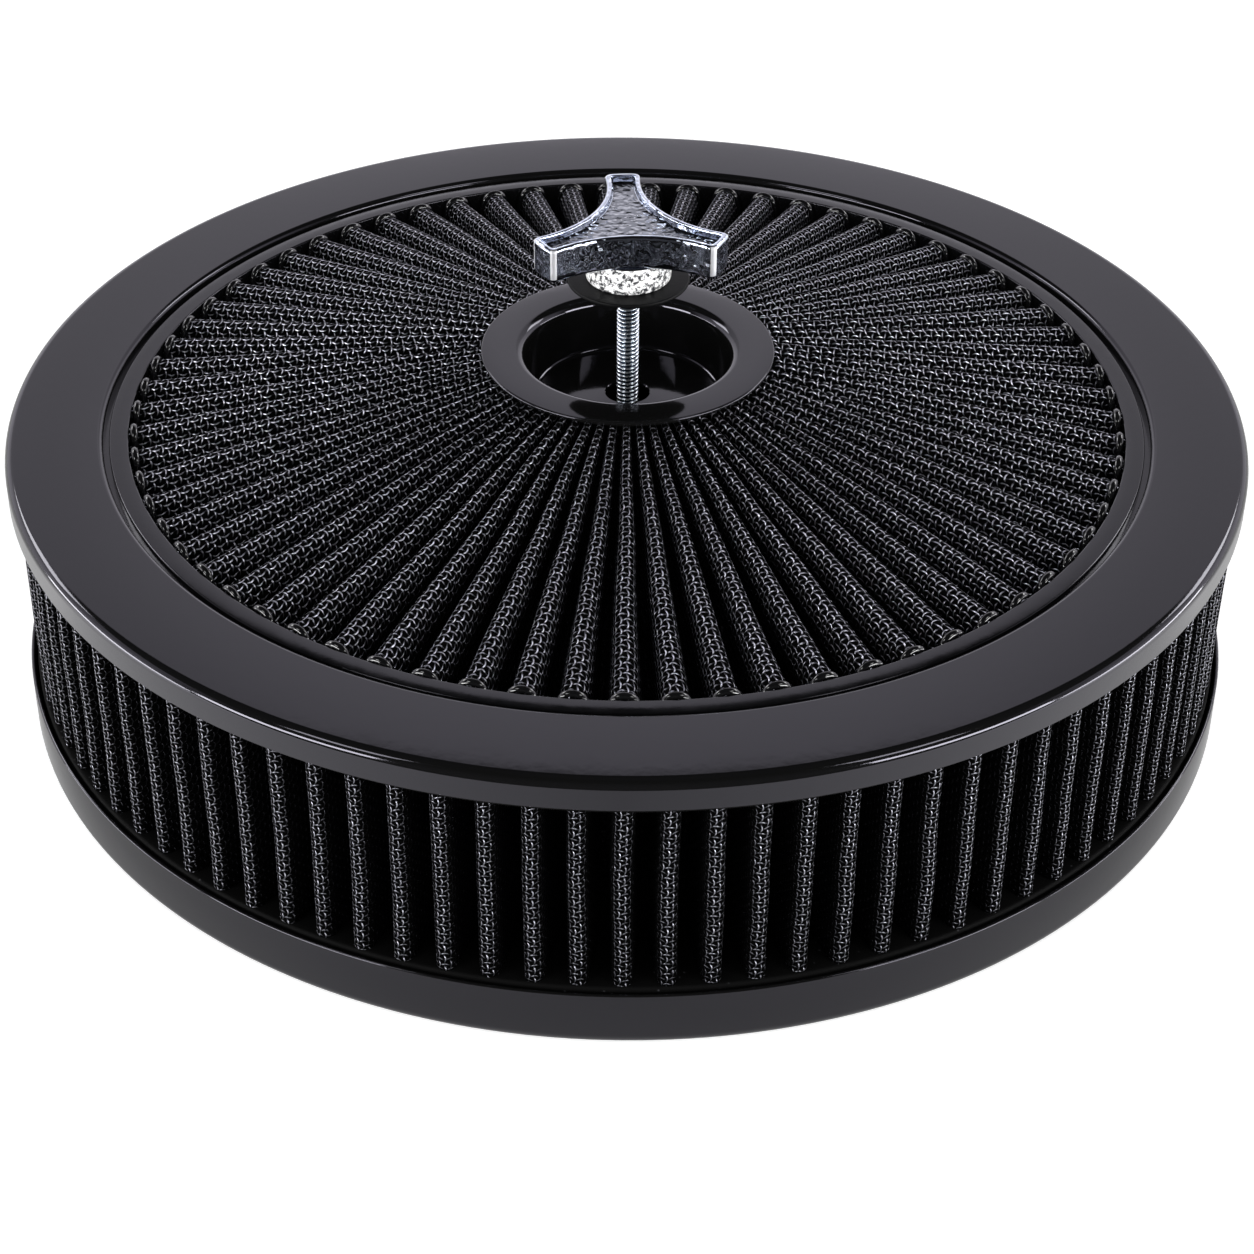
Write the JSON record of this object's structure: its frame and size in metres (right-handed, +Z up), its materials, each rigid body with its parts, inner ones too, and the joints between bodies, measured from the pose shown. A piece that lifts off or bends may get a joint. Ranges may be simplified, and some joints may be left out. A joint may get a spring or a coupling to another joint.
{
  "type": "carburetor air cleaner",
  "caption": "Round air cleaner: base pan, pleated ring element, lid with a pleated filter in its middle, and a three-armed clamp knob on a threaded stud.",
  "frame": {"origin": "centre of the base pan's underside, on the axis", "axes": "+Z up along the axis, towards the knob; -Y towards the front"},
  "size_m": [0.356, 0.356, 0.1445],
  "materials": {
    "black_steel": "satin black enamel",
    "black_urethane": "semi-matte moulded urethane",
    "black_rubber": "matte rubber",
    "filter_media": "black cotton gauze under black coated wire screen",
    "zinc_steel": "bright zinc plate",
    "chrome": "bright chrome, pebbled in the recess"
  },
  "bodies": {
    "housing": {"base_pan": "black_steel", "neck_gasket": "black_rubber", "element_bottom_ring": "black_urethane", "side_media": "filter_media", "element_top_ring": "black_urethane", "lid_ring": "black_steel", "top_outer_frame": "black_urethane", "top_media": "filter_media", "top_inner_ring": "black_urethane", "hub_cup": "black_steel"},
    "washer": {"seal_washer": "black_rubber"},
    "clamp_screw": {"stud": "zinc_steel", "knob": "chrome"}
  },
  "joints": [
    {"name": "screw_travel", "type": "slide", "parent": "housing", "child": "washer", "axis": [0, 0, 1], "range_m": [-0.0362, 0]},
    {"name": "screw_spin", "type": "hinge", "parent": "washer", "child": "clamp_screw", "pos_m": [0, 0, 0.1267], "axis": [0, 0, 1], "range_deg": [-10261, 0]}
  ],
  "couplings": [
    {"joint": "screw_travel", "follows": "screw_spin", "m_per_rad": 0.00020213}
  ]
}
